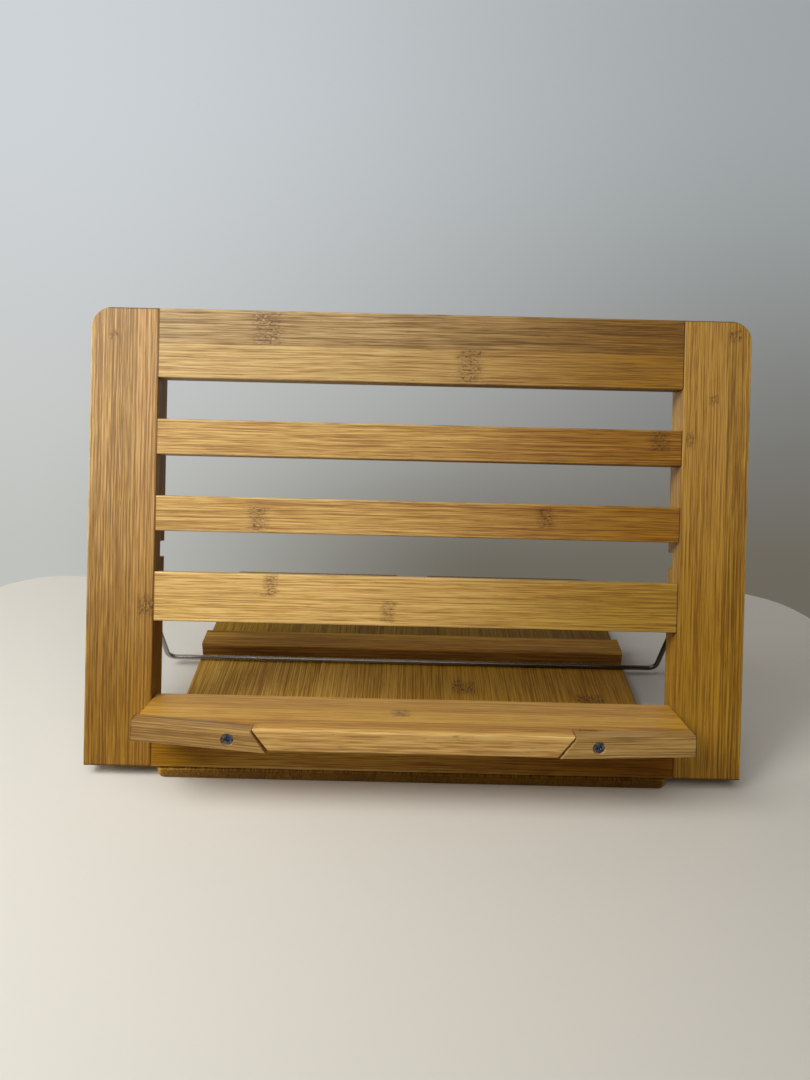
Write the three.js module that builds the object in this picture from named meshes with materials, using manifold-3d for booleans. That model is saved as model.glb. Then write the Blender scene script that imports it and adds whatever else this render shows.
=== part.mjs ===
// Folding bookstand: a leaning frame on a thin base board, a wire prop, a fold-up ledge
// and two turning page holders. Millimetres, +Z up, -Y is the side the reader faces.
import * as THREE from 'three';
import { mergeVertices } from 'three/addons/utils/BufferGeometryUtils.js';
import Module from 'manifold-3d';

const wasm = await Module();
wasm.setup();

// ---- driving sizes -------------------------------------------------------
const RAD = Math.PI / 180;
const HAIR = 0.3; // clearance between pieces that move or rest on each other
const TIGHT = 0.1; // radial clearance round pins, screws and the wire
const OVERCUT = 5; // how far a cutter runs past the face it opens

// Frame, leaning back. Its own axes: u across, d behind the front face, v up the frame.
const FRAME_LEAN = 24.2 * RAD;
const FRAME_WIDTH = 340;
const FRAME_HEIGHT = 236.45; // along the lean
const FRAME_LIFT = 7; // its level foot above the table
const STILE_WIDTH = 34.9;
const STILE_CORNER = 10.5;
const RAIL_THICKNESS = 10;
const EASE = 0.8; // small rounding on every wooden edge
const BOTTOM_RAIL_HEIGHT = 24.2;
const MIDDLE_RAIL_HEIGHT = 25.43;
const SLAT_HEIGHT = 18.25;
const TOP_RAIL_HEIGHT = 35.5;
const TENON_LENGTH = 8;
const TENON_SHOULDER = 2.5; // step from the rail's faces and edges to its tenon
const TENON_FIT = 0.15;

// Base board, flat on the table.
const BASE_SIDE_GAP = 2.1; // to the stiles on each side
const BASE_THICKNESS = 5;
const BASE_CORNER = 5;
const FINGER_WIDTH = 22.8;
const FINGER_DEPTH = 10;
const FINGER_CORNER = 5;

// Stop strip across the base, behind the prop's crossbar. Folded, it lies over the middle rail.
const STRIP_DEPTH = 17.8;
const STRIP_HEIGHT = 8.3;
const STRIP_ROUND = 2;
const STRIP_END_STEP = 0.5; // in from the base's edges
const STRIP_RAIL_GAP = 1.22;
const STRIP_SLAT_GAP = 2.1;

// Fold hinges between the bottom rail and the base.
const HINGE_RISE = 1.7; // pin above the base top, and behind the folded base
const HINGE_INSET = 45.1; // hinge middle to stile
const HINGE_LENGTH = 30;
const KNUCKLE_RADIUS = 1.5;
const KNUCKLE_MIDDLE = 10;
const HINGE_PIN_RADIUS = 0.6;
const LEAF_THICKNESS = 0.8;
const LEAF_SEAT = 0.2; // leaf above the wood it is screwed to
const LEAF_REACH = 15;
const LEAF_SCREW_SPREAD = 9;
const LEAF_SCREW_REACH = 9.5;
const LEAF_SCREW_RADIUS = 0.85;
const LEAF_SCREW_HEAD = 1.7;
const LEAF_SCREW_CONE = 0.9;
const RAIL_SCREW_LENGTH = 6.5;
const BASE_SCREW_LENGTH = 3.8;

// Wire prop. Its crossbar stands before the strip; folded, it lies behind the top rail.
const WIRE_RADIUS = 1.5;
const PROP_LEG_INSET = 17.4; // leg's centre line into the stile's width
const PROP_PIVOT_DEPTH = 13; // behind the frame's front
const PROP_BAR_AHEAD = 5.6; // crossbar's centre before the strip
const PROP_TUCK = 20.4; // folded crossbar above the top rail's lower edge
const PROP_BEND = 5;
const PROP_END_BEND = 3;
const PROP_END_REACH = 10.5; // from a leg's centre line into its stile
const PROP_BASE_GAP = 0.17; // crossbar above the base board
const PROP_BOARD_GAP = 0.6; // folded crossbar beyond the base board's end
const PROP_SLOT_GAP = 0.8; // beside the leg in its slot
const PROP_SLOT_DROP = 9.5; // the slot's foot below the pivot

// Notch for the prop's bent end, in the back inner edge of each stile.
const NOTCH_BELOW = 4.7; // from the pivot
const NOTCH_ABOVE = 3.6;
const NOTCH_REACH = 20.9; // from the stile's inner face
const NOTCH_FLOOR = 8.4; // its depth from the back of the stile
const NOTCH_ROUND = 1.2;

// Fold-up ledge. Its own axes: s forward from the frame's front, t up from its top face.
const LEDGE_DROOP = 8.51 * RAD;
const LEDGE_FRONT = 39;
const LEDGE_THICKNESS = 10.4;
const LEDGE_PIVOT_BACK = 4.5; // pivot behind the frame's front, along s
const LEDGE_END_GAP = 0.4;
const LEDGE_BACK_ROUND = 1.2; // its top back corner; its bottom back corner is round about the pivot
const LEDGE_TOP_GAP = 1.45; // folded ledge to the middle rail
const LEDGE_PIN_RADIUS = 1.5;
const LEDGE_PIN_DEPTH = 12; // into the stile and into the ledge

// Page holders on the ledge's front corners, placed from their screws.
const HOLDER_THICKNESS = 9.6;
const HOLDER_OUTER = 46.2;
const HOLDER_INNER_TOP = 10.6;
const HOLDER_INNER_BOTTOM = 18.6;
const HOLDER_SLANT_GAP = 1;
const HOLDER_LIFT = { left: 4.3 * RAD, right: 2.25 * RAD };
const SCREW_SHANK = 1.75;
const SCREW_HEAD = 3.1;
const SCREW_SEAT = 0.4; // head below the holder's face
const SCREW_CONE = 1.9;
const SCREW_LENGTH = 26;
const CROSS_LENGTH = 3.2;
const CROSS_WIDTH = 0.8;
const CROSS_DEPTH = 1.1;

// ---- derived places ------------------------------------------------------
const LEAN_SIN = Math.sin(FRAME_LEAN);
const LEAN_COS = Math.cos(FRAME_LEAN);
const stileInner = FRAME_WIDTH / 2 - STILE_WIDTH;
const baseHalf = stileInner - BASE_SIDE_GAP;

// Hinge pin: as far above the base as it lies behind the rails, so the two fold face to face.
const hingeHeight = BASE_THICKNESS + HINGE_RISE;
const hingeDepth = RAIL_THICKNESS + HINGE_RISE;
const hingePlace = stileInner - HINGE_INSET;
const stileThickness = hingeDepth + HINGE_RISE + BASE_THICKNESS;
const hingeUp = (hingeHeight - FRAME_LIFT + hingeDepth * LEAN_SIN) / LEAN_COS;
const hingeBack = hingeDepth * LEAN_COS + hingeUp * LEAN_SIN; // world Y of the hinge pins
const foldShift = hingeBack - hingeUp; // from a height up the frame to the base spot it folds on

// Ledge: its underside lies on the front top edge of the bottom rail.
const ledgeHeight = BOTTOM_RAIL_HEIGHT + (LEDGE_THICKNESS + HAIR) / Math.cos(LEDGE_DROOP);
const ledgePivotT = -LEDGE_THICKNESS / 2;
const ledgePivotDepth = LEDGE_PIVOT_BACK * Math.cos(LEDGE_DROOP) - ledgePivotT * Math.sin(LEDGE_DROOP);
const ledgePivotUp = ledgeHeight + LEDGE_PIVOT_BACK * Math.sin(LEDGE_DROOP)
  + ledgePivotT * Math.cos(LEDGE_DROOP);
const ledgePivot = [0, ledgePivotDepth, ledgePivotUp];
const ledgeBack = LEDGE_PIVOT_BACK + LEDGE_THICKNESS / 2;
const ledgeHalf = stileInner - LEDGE_END_GAP;
const holderPlace = ledgeHalf - LEDGE_END_GAP - HOLDER_OUTER;
const recessFloor = LEDGE_FRONT - HOLDER_THICKNESS - HAIR;

// Rails from the foot upwards. The ledge folds into the first gap, the strip into the
// second.
const middleLow = ledgePivotUp + LEDGE_PIVOT_BACK + LEDGE_FRONT + LEDGE_TOP_GAP;
const middleHigh = middleLow + MIDDLE_RAIL_HEIGHT;
const slatLowerLow = middleHigh + STRIP_RAIL_GAP + STRIP_DEPTH + STRIP_SLAT_GAP;
const topLow = FRAME_HEIGHT - TOP_RAIL_HEIGHT;
const slatGap = (topLow - slatLowerLow) / 2 - SLAT_HEIGHT; // the two slats stand evenly spaced
const slatUpperLow = slatLowerLow + SLAT_HEIGHT + slatGap;
const RAILS = [
  { name: 'top_rail', low: topLow, high: FRAME_HEIGHT },
  { name: 'slat_upper', low: slatUpperLow, high: slatUpperLow + SLAT_HEIGHT },
  { name: 'slat_lower', low: slatLowerLow, high: slatLowerLow + SLAT_HEIGHT },
  { name: 'middle_rail', low: middleLow, high: middleHigh },
  { name: 'bottom_rail', low: 0, high: BOTTOM_RAIL_HEIGHT },
];

// Strip and prop. The pivot is the place up the stile from which the leg reaches both the
// crossbar's rest place, on the base, and its folded place, behind the top rail.
const stripFront = foldShift + middleHigh + STRIP_RAIL_GAP;
const legPlace = stileInner + PROP_LEG_INSET;
const barY = stripFront - PROP_BAR_AHEAD;
const barZ = BASE_THICKNESS + WIRE_RADIUS + PROP_BASE_GAP;
const barDepth = barY * LEAN_COS - (barZ - FRAME_LIFT) * LEAN_SIN; // rest place, in the frame's axes
const barUp = barY * LEAN_SIN + (barZ - FRAME_LIFT) * LEAN_COS;
const tuckUp = topLow + PROP_TUCK;
const pivotUp = (tuckUp ** 2 - barUp ** 2 - (PROP_PIVOT_DEPTH - barDepth) ** 2) / (2 * (tuckUp - barUp));
const legLength = tuckUp - pivotUp;
const propTurn = Math.atan2(barDepth - PROP_PIVOT_DEPTH, pivotUp - barUp); // from the frame's own down
const baseDepth = foldShift + tuckUp - WIRE_RADIUS - PROP_BOARD_GAP;

// ---- frames of reference -------------------------------------------------
const frameMatrix = new THREE.Matrix4()
  .makeTranslation(0, 0, FRAME_LIFT)
  .multiply(new THREE.Matrix4().makeRotationX(-FRAME_LEAN));
const ledgeMatrix = frameMatrix.clone()
  .multiply(new THREE.Matrix4().makeTranslation(0, 0, ledgeHeight))
  .multiply(new THREE.Matrix4().makeRotationX(LEDGE_DROOP));
const propMatrix = frameMatrix.clone()
  .multiply(new THREE.Matrix4().makeTranslation(0, PROP_PIVOT_DEPTH, pivotUp))
  .multiply(new THREE.Matrix4().makeRotationX(propTurn));

// ---- geometry helpers ----------------------------------------------------
function toSolid(geometry) {
  const loose = geometry.index ? geometry.toNonIndexed() : geometry.clone();
  loose.deleteAttribute('normal');
  loose.deleteAttribute('uv');
  const welded = mergeVertices(loose, 1e-4);
  const corners = Array.from(welded.index.array);
  const triangles = [];
  for (let i = 0; i < corners.length; i += 3) {
    const [a, b, c] = corners.slice(i, i + 3);
    if (a !== b && b !== c && c !== a) triangles.push(a, b, c);
  }
  return new wasm.Manifold(new wasm.Mesh({
    numProp: 3,
    vertProperties: Float32Array.from(welded.attributes.position.array),
    triVerts: Uint32Array.from(triangles),
  }));
}

function toGeometry(solid) {
  const shape = solid.getMesh();
  const geometry = new THREE.BufferGeometry();
  geometry.setAttribute('position', new THREE.BufferAttribute(Float32Array.from(shape.vertProperties), 3));
  geometry.setIndex(new THREE.BufferAttribute(Uint32Array.from(shape.triVerts), 1));
  return geometry;
}

function carve(body, cutters) {
  return cutters.reduce((left, cutter) => left.subtract(cutter), body);
}

function join(pieces) {
  return pieces.reduce((whole, piece) => whole.add(piece));
}

function box(x0, x1, y0, y1, z0, z1) {
  const geometry = new THREE.BoxGeometry(x1 - x0, y1 - y0, z1 - z0);
  return toSolid(geometry.translate((x0 + x1) / 2, (y0 + y1) / 2, (z0 + z1) / 2));
}

// A round bar along X, Y or Z; the radius may change from its low end to its high end.
function rod(axis, centre, low, high, lowRadius, highRadius = lowRadius, sides = 32) {
  const geometry = new THREE.CylinderGeometry(highRadius, lowRadius, high - low, sides);
  geometry.translate(0, (low + high) / 2, 0);
  const turns = {
    x: new THREE.Matrix4().makeRotationZ(-Math.PI / 2),
    y: new THREE.Matrix4(),
    z: new THREE.Matrix4().makeRotationX(Math.PI / 2),
  };
  geometry.applyMatrix4(turns[axis]);
  return toSolid(geometry.translate(...centre));
}

// A rectangle with rounded corners; radii run anticlockwise from the low-left corner, 0 is square.
function roundedRect(x0, y0, x1, y1, radii) {
  const four = Array.isArray(radii) ? radii : [radii, radii, radii, radii];
  const corners = [[x0, y0, 1, 1], [x1, y0, -1, 1], [x1, y1, -1, -1], [x0, y1, 1, -1]];
  const shape = new THREE.Shape();
  corners.forEach(([x, y, inX, inY], i) => {
    const radius = four[i];
    const start = Math.PI + (i * Math.PI) / 2;
    if (radius > 0) {
      shape.absarc(x + inX * radius, y + inY * radius, radius, start, start + Math.PI / 2, false);
    } else if (i === 0) {
      shape.moveTo(x, y);
    } else {
      shape.lineTo(x, y);
    }
  });
  return shape;
}

// A (y, z) outline drawn out along X.
function alongX(shape, x0, x1, curveSegments = 4) {
  const geometry = new THREE.ExtrudeGeometry(shape, { depth: x1 - x0, bevelEnabled: false, curveSegments });
  const axes = new THREE.Matrix4().makeBasis(
    new THREE.Vector3(0, 1, 0), new THREE.Vector3(0, 0, 1), new THREE.Vector3(1, 0, 0));
  return toSolid(geometry.applyMatrix4(axes).translate(x0, 0, 0));
}

// An outline with eased edges, drawn out by its thickness along its own Z.
function easedPlate(shape, thickness, ease, curveSegments) {
  return new THREE.ExtrudeGeometry(shape, {
    depth: thickness - 2 * ease,
    bevelEnabled: ease > 0,
    bevelThickness: ease,
    bevelSize: ease,
    bevelOffset: -ease,
    bevelSegments: 2,
    curveSegments,
  }).translate(0, 0, ease);
}

// An (x, z) outline filling y0 to y1.
function alongY(shape, y0, y1, ease, curveSegments = 8) {
  const axes = new THREE.Matrix4().makeBasis(
    new THREE.Vector3(1, 0, 0), new THREE.Vector3(0, 0, 1), new THREE.Vector3(0, -1, 0));
  const geometry = easedPlate(shape, y1 - y0, ease, curveSegments);
  return toSolid(geometry.applyMatrix4(axes).translate(0, y1, 0));
}

// A bent round bar: rings of points square to a flat path, closed by a fan at each end.
function bentBar(path, radius, planeNormal, sides = 16) {
  const points = [];
  path.forEach((point, i) => {
    const before = path[Math.max(i - 1, 0)];
    const after = path[Math.min(i + 1, path.length - 1)];
    const along = after.clone().sub(before).normalize();
    const across = along.clone().cross(planeNormal);
    for (let k = 0; k < sides; k += 1) {
      const turn = (2 * Math.PI * k) / sides;
      points.push(point.clone()
        .addScaledVector(across, radius * Math.cos(turn))
        .addScaledVector(planeNormal, radius * Math.sin(turn)));
    }
  });
  const index = [];
  for (let i = 0; i < path.length - 1; i += 1) {
    for (let k = 0; k < sides; k += 1) {
      const next = (k + 1) % sides;
      const a = i * sides + k;
      const b = i * sides + next;
      index.push(a, a + sides, b, b, a + sides, b + sides);
    }
  }
  const last = (path.length - 1) * sides;
  for (let k = 1; k < sides - 1; k += 1) {
    index.push(0, k, k + 1, last, last + k + 1, last + k);
  }
  const geometry = new THREE.BufferGeometry().setFromPoints(points);
  geometry.setIndex(index);
  return geometry;
}

// Points of an arc in the (x, z) plane.
function arcPoints(cx, cz, radius, from, to, steps) {
  return Array.from({ length: steps + 1 }, (_, i) => {
    const turn = from + ((to - from) * i) / steps;
    return new THREE.Vector3(cx + radius * Math.cos(turn), 0, cz + radius * Math.sin(turn));
  });
}

// ---- materials and assembly ----------------------------------------------
const LOOKS = {
  bamboo: { color: 0xc79a5e, roughness: 0.5, metalness: 0 },
  dark_bamboo: { color: 0xb0834a, roughness: 0.5, metalness: 0 },
  steel_wire: { color: 0x9a9b9c, roughness: 0.3, metalness: 1 },
  steel: { color: 0x6f7072, roughness: 0.35, metalness: 1 },
};

const stand = new THREE.Group();
stand.name = 'folding_bookstand';

function place(name, geometry, look, matrix = new THREE.Matrix4()) {
  const flat = geometry.index ? geometry.toNonIndexed() : geometry;
  flat.applyMatrix4(matrix);
  flat.computeVertexNormals();
  const piece = new THREE.Mesh(flat, new THREE.MeshStandardMaterial(LOOKS[look]));
  piece.name = name;
  stand.add(piece);
}

// ---- screws --------------------------------------------------------------
// Every screw is made along +Y with its head at y = 0, facing -Y.
function screw(head, cone, shank, length, cross) {
  const outline = [[0, 0], [head, 0], [head, 0.15], [shank, cone], [shank, length - 2], [0, length]];
  const lathe = new THREE.LatheGeometry(outline.map(([x, y]) => new THREE.Vector2(x, y)), 32);
  const slots = [
    box(-cross.length / 2, cross.length / 2, -OVERCUT, cross.depth, -cross.width / 2, cross.width / 2),
    box(-cross.width / 2, cross.width / 2, -OVERCUT, cross.depth, -cross.length / 2, cross.length / 2),
  ];
  return carve(toSolid(lathe), slots);
}

// The hole for such a screw: a countersink, then a bore that runs a little past the tip.
function screwHole(head, cone, shank, length) {
  return join([
    rod('y', [0, 0, 0], -OVERCUT, 0.15, head + TIGHT),
    rod('y', [0, 0, 0], 0.15, cone, head + TIGHT, shank + TIGHT),
    rod('y', [0, 0, 0], cone - 0.01, length + TIGHT, shank + TIGHT),
  ]);
}

const LEAF_CROSS = { length: 1.8, width: 0.45, depth: 0.5 };
const HOLDER_CROSS = { length: CROSS_LENGTH, width: CROSS_WIDTH, depth: CROSS_DEPTH };

function leafScrew(length) {
  return screw(LEAF_SCREW_HEAD, LEAF_SCREW_CONE, LEAF_SCREW_RADIUS, length, LEAF_CROSS);
}

function leafScrewHole(length) {
  return screwHole(LEAF_SCREW_HEAD, LEAF_SCREW_CONE, LEAF_SCREW_RADIUS, length);
}

const LEAF_SCREWS = [-1, 1].flatMap((side) => [-1, 1].map((spread) => ({
  side: side < 0 ? 'left' : 'right',
  end: spread < 0 ? 'a' : 'b',
  x: side * hingePlace + spread * LEAF_SCREW_SPREAD,
})));

// Leaf screw seats, heads level with the free face of their leaf.
const railLeafFace = RAIL_THICKNESS + LEAF_SEAT + LEAF_THICKNESS;
const baseLeafFace = BASE_THICKNESS + LEAF_SEAT + LEAF_THICKNESS;

function railScrewSeat(x) {
  return new THREE.Matrix4()
    .makeTranslation(x, railLeafFace, hingeUp + LEAF_SCREW_REACH)
    .multiply(new THREE.Matrix4().makeRotationX(Math.PI));
}

function baseScrewSeat(x) {
  return new THREE.Matrix4()
    .makeTranslation(x, hingeBack + LEAF_SCREW_REACH, baseLeafFace)
    .multiply(new THREE.Matrix4().makeRotationX(-Math.PI / 2));
}

function moved(solid, matrix) {
  const geometry = toGeometry(solid);
  return toSolid(geometry.applyMatrix4(matrix));
}

// ---- base ----------------------------------------------------------------
function baseBoard() {
  const outline = roundedRect(-baseHalf, 0, baseHalf, baseDepth, BASE_CORNER);
  const board = toSolid(easedPlate(outline, BASE_THICKNESS, EASE, 6));
  const opening = roundedRect(-FINGER_WIDTH / 2, baseDepth - FINGER_DEPTH, FINGER_WIDTH / 2,
    baseDepth + 2 * OVERCUT, FINGER_CORNER);
  const finger = new THREE.ExtrudeGeometry(opening, {
    depth: BASE_THICKNESS + 2 * OVERCUT, bevelEnabled: false, curveSegments: 6,
  });
  const cutters = LEAF_SCREWS.map(({ x }) => moved(leafScrewHole(BASE_SCREW_LENGTH), baseScrewSeat(x)));
  return carve(board, [toSolid(finger.translate(0, 0, -OVERCUT)), ...cutters]);
}

function stopStrip() {
  const section = roundedRect(stripFront, BASE_THICKNESS, stripFront + STRIP_DEPTH,
    BASE_THICKNESS + STRIP_HEIGHT, [EASE, EASE, STRIP_ROUND, STRIP_ROUND]);
  return alongX(section, STRIP_END_STEP - baseHalf, baseHalf - STRIP_END_STEP, 5);
}

// ---- frame ---------------------------------------------------------------
function rail({ low, high }) {
  const bar = alongX(roundedRect(0, low, RAIL_THICKNESS, high, EASE), -stileInner, stileInner, 3);
  const reach = stileInner + TENON_LENGTH;
  const tenonLow = Math.max(low, footAt(RAIL_THICKNESS)) + TENON_SHOULDER;
  const tenon = box(-reach, reach, TENON_SHOULDER, RAIL_THICKNESS - TENON_SHOULDER,
    tenonLow, high - TENON_SHOULDER);
  return bar.add(tenon);
}

// Height up the frame at which its level foot is cut, at a depth behind the front.
function footAt(depth) {
  return depth * Math.tan(FRAME_LEAN);
}

// Everything below the level foot.
function footCutter() {
  const slab = new THREE.BoxGeometry(2 * FRAME_WIDTH, 2 * FRAME_WIDTH, 2 * FRAME_WIDTH);
  slab.translate(0, 0, FRAME_LIFT - FRAME_WIDTH);
  return toSolid(slab.applyMatrix4(frameMatrix.clone().invert()));
}

function bottomRail() {
  const holes = LEAF_SCREWS.map(({ x }) => moved(leafScrewHole(RAIL_SCREW_LENGTH), railScrewSeat(x)));
  return carve(rail(RAILS.find(({ name }) => name === 'bottom_rail')), [footCutter(), ...holes]);
}

// The right stile; the left one is its mirror image.
function stile() {
  const outer = FRAME_WIDTH / 2;
  const face = roundedRect(stileInner, -OVERCUT, outer, FRAME_HEIGHT, [0, 0, STILE_CORNER, 0]);
  const post = alongY(face, 0, stileThickness, EASE, 8);
  const mortises = RAILS.map(({ low, high }) => box(
    stileInner - OVERCUT, stileInner + TENON_LENGTH + TENON_FIT,
    TENON_SHOULDER - TENON_FIT, RAIL_THICKNESS - TENON_SHOULDER + TENON_FIT,
    Math.max(low, footAt(RAIL_THICKNESS)) + TENON_SHOULDER - TENON_FIT, high - TENON_SHOULDER + TENON_FIT,
  ));
  const pocketFloor = stileThickness - NOTCH_FLOOR;
  const notchOuter = stileInner + NOTCH_REACH;
  const notch = alongX(
    roundedRect(pocketFloor, pivotUp - NOTCH_BELOW, stileThickness + OVERCUT, pivotUp + NOTCH_ABOVE,
      NOTCH_ROUND),
    stileInner - OVERCUT, notchOuter);
  const slotHalf = WIRE_RADIUS + PROP_SLOT_GAP;
  const slot = box(legPlace - slotHalf, legPlace + slotHalf, pocketFloor, stileThickness + OVERCUT,
    pivotUp - PROP_SLOT_DROP, tuckUp + slotHalf);
  const barPocket = box(stileInner - OVERCUT, legPlace + slotHalf, pocketFloor,
    stileThickness + OVERCUT, tuckUp - PROP_BEND - slotHalf, tuckUp + slotHalf);
  const wireHole = rod('x', [0, PROP_PIVOT_DEPTH, pivotUp],
    notchOuter - TIGHT, legPlace + PROP_END_REACH + HAIR, WIRE_RADIUS + TIGHT);
  const pinHole = rod('x', ledgePivot, stileInner - OVERCUT,
    stileInner + LEDGE_PIN_DEPTH + TIGHT, LEDGE_PIN_RADIUS + TIGHT);
  return carve(post, [footCutter(), ...mortises, notch, slot, barPocket, wireHole, pinHole]);
}

// ---- ledge ---------------------------------------------------------------
function ledgeSection() {
  const section = new THREE.Shape();
  section.moveTo(ledgeBack - LEDGE_BACK_ROUND, 0);
  section.lineTo(-LEDGE_FRONT + EASE, 0);
  section.absarc(-LEDGE_FRONT + EASE, -EASE, EASE, Math.PI / 2, Math.PI, false);
  section.lineTo(-LEDGE_FRONT, EASE - LEDGE_THICKNESS);
  section.absarc(-LEDGE_FRONT + EASE, EASE - LEDGE_THICKNESS, EASE, Math.PI, Math.PI * 1.5, false);
  section.lineTo(LEDGE_PIVOT_BACK, -LEDGE_THICKNESS);
  section.absarc(LEDGE_PIVOT_BACK, ledgePivotT, LEDGE_THICKNESS / 2, -Math.PI / 2, 0, false);
  section.lineTo(ledgeBack, -LEDGE_BACK_ROUND);
  section.absarc(ledgeBack - LEDGE_BACK_ROUND, -LEDGE_BACK_ROUND, LEDGE_BACK_ROUND, 0, Math.PI / 2, false);
  return section;
}

// The front corner cut out for one page holder, its inner wall slanted like the holder's end.
function holderRecess(side) {
  const outline = new THREE.Shape();
  const top = holderPlace - HOLDER_INNER_TOP - HOLDER_SLANT_GAP;
  const bottom = holderPlace - HOLDER_INNER_BOTTOM - HOLDER_SLANT_GAP;
  const slope = (bottom - top) / LEDGE_THICKNESS;
  outline.moveTo(side * (top - slope * OVERCUT), OVERCUT);
  outline.lineTo(side * (ledgeHalf + OVERCUT), OVERCUT);
  outline.lineTo(side * (ledgeHalf + OVERCUT), -LEDGE_THICKNESS - OVERCUT);
  outline.lineTo(side * (bottom + slope * OVERCUT), -LEDGE_THICKNESS - OVERCUT);
  return alongY(outline, -LEDGE_FRONT - OVERCUT, -recessFloor, 0);
}

function holderScrewSeat(side) {
  return new THREE.Matrix4()
    .makeTranslation(side * holderPlace, -LEDGE_FRONT + SCREW_SEAT, ledgePivotT);
}

function ledge() {
  const bar = alongX(ledgeSection(), -ledgeHalf, ledgeHalf, 8);
  const cutters = [-1, 1].flatMap((side) => [
    holderRecess(side),
    moved(screwHole(SCREW_HEAD, SCREW_CONE, SCREW_SHANK, SCREW_LENGTH), holderScrewSeat(side)),
    rod('x', [0, LEDGE_PIVOT_BACK, ledgePivotT],
      Math.min(side * (ledgeHalf - LEDGE_PIN_DEPTH - TIGHT), side * (ledgeHalf + OVERCUT)),
      Math.max(side * (ledgeHalf - LEDGE_PIN_DEPTH - TIGHT), side * (ledgeHalf + OVERCUT)),
      LEDGE_PIN_RADIUS + TIGHT),
  ]);
  return carve(bar, cutters);
}

// A page holder about its own screw, its long arm towards the stile.
function pageHolder(side) {
  const half = LEDGE_THICKNESS / 2;
  const outline = new THREE.Shape();
  outline.moveTo(-side * HOLDER_INNER_BOTTOM, -half);
  outline.lineTo(side * HOLDER_OUTER, -half);
  outline.lineTo(side * HOLDER_OUTER, half);
  outline.lineTo(-side * HOLDER_INNER_TOP, half);
  const blank = alongY(outline, -LEDGE_FRONT, -LEDGE_FRONT + HOLDER_THICKNESS, EASE);
  const hole = screwHole(SCREW_HEAD, SCREW_CONE, SCREW_SHANK, SCREW_LENGTH);
  return carve(blank, [moved(hole, new THREE.Matrix4().makeTranslation(0, -LEDGE_FRONT + SCREW_SEAT, 0))]);
}

function holderMatrix(side, lift) {
  return ledgeMatrix.clone()
    .multiply(new THREE.Matrix4().makeTranslation(side * holderPlace, 0, ledgePivotT))
    .multiply(new THREE.Matrix4().makeRotationY(-side * lift));
}

function ledgePin(side) {
  const inner = side * (ledgeHalf - LEDGE_PIN_DEPTH);
  const outer = side * (stileInner + LEDGE_PIN_DEPTH);
  return rod('x', ledgePivot, Math.min(inner, outer), Math.max(inner, outer), LEDGE_PIN_RADIUS);
}

// ---- fold hinges ---------------------------------------------------------
// A leaf about its pin: the plate runs up +Z at distance -Y from the pin, towards the wood.
function leaf(centre, knuckles, screwLength) {
  const half = HINGE_LENGTH / 2;
  const face = -(HINGE_RISE - LEAF_SEAT);
  const plate = box(centre - half, centre + half, face, face + LEAF_THICKNESS,
    KNUCKLE_RADIUS + HAIR, LEAF_REACH);
  const wraps = knuckles.flatMap(([low, high]) => [
    box(centre + low, centre + high, face, face + LEAF_THICKNESS, 0, KNUCKLE_RADIUS + 2 * HAIR),
    rod('x', [0, 0, 0], centre + low, centre + high, KNUCKLE_RADIUS),
  ]);
  const bore = rod('x', [0, 0, 0], centre - half - OVERCUT, centre + half + OVERCUT,
    HINGE_PIN_RADIUS + TIGHT, HINGE_PIN_RADIUS + TIGHT, 24);
  const holes = [-1, 1].map((spread) => moved(leafScrewHole(screwLength), new THREE.Matrix4()
    .makeTranslation(centre + spread * LEAF_SCREW_SPREAD, face + LEAF_THICKNESS, LEAF_SCREW_REACH)
    .multiply(new THREE.Matrix4().makeRotationX(Math.PI))));
  return carve(join([plate, ...wraps]), [bore, ...holes]);
}

const middleKnuckle = [[-KNUCKLE_MIDDLE / 2, KNUCKLE_MIDDLE / 2]];
const outerKnuckles = [
  [-HINGE_LENGTH / 2, -KNUCKLE_MIDDLE / 2 - HAIR],
  [KNUCKLE_MIDDLE / 2 + HAIR, HINGE_LENGTH / 2],
];

// Frame leaf: plate against the back of the bottom rail. Base leaf: plate on the base.
const frameLeafMatrix = frameMatrix.clone()
  .multiply(new THREE.Matrix4().makeTranslation(0, hingeDepth, hingeUp));
const baseLeafMatrix = new THREE.Matrix4()
  .makeTranslation(0, hingeBack, hingeHeight)
  .multiply(new THREE.Matrix4().makeRotationZ(Math.PI))
  .multiply(new THREE.Matrix4().makeRotationX(Math.PI / 2));

function hingePin(centre) {
  const half = HINGE_LENGTH / 2 + HAIR;
  return rod('x', [0, hingeBack, hingeHeight], centre - half, centre + half, HINGE_PIN_RADIUS,
    HINGE_PIN_RADIUS, 24);
}

// ---- wire prop -----------------------------------------------------------
function propWire() {
  const foot = -legLength;
  const right = [
    ...arcPoints(legPlace - PROP_BEND, foot + PROP_BEND, PROP_BEND, -Math.PI / 2, 0, 8),
    ...arcPoints(legPlace + PROP_END_BEND, -PROP_END_BEND, PROP_END_BEND, Math.PI, Math.PI / 2, 8),
    new THREE.Vector3(legPlace + PROP_END_REACH, 0, 0),
  ];
  const left = right.map((point) => new THREE.Vector3(-point.x, 0, point.z)).reverse();
  return bentBar([...left, ...right], WIRE_RADIUS, new THREE.Vector3(0, 1, 0));
}

// ---- assembly ------------------------------------------------------------
const MIRROR = new THREE.Matrix4().makeScale(-1, 1, 1);

function mirrored(solid) {
  const geometry = toGeometry(solid).applyMatrix4(MIRROR);
  const index = Array.from(geometry.index.array);
  for (let i = 0; i < index.length; i += 3) {
    [index[i], index[i + 1]] = [index[i + 1], index[i]];
  }
  geometry.setIndex(index);
  return geometry;
}

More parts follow.
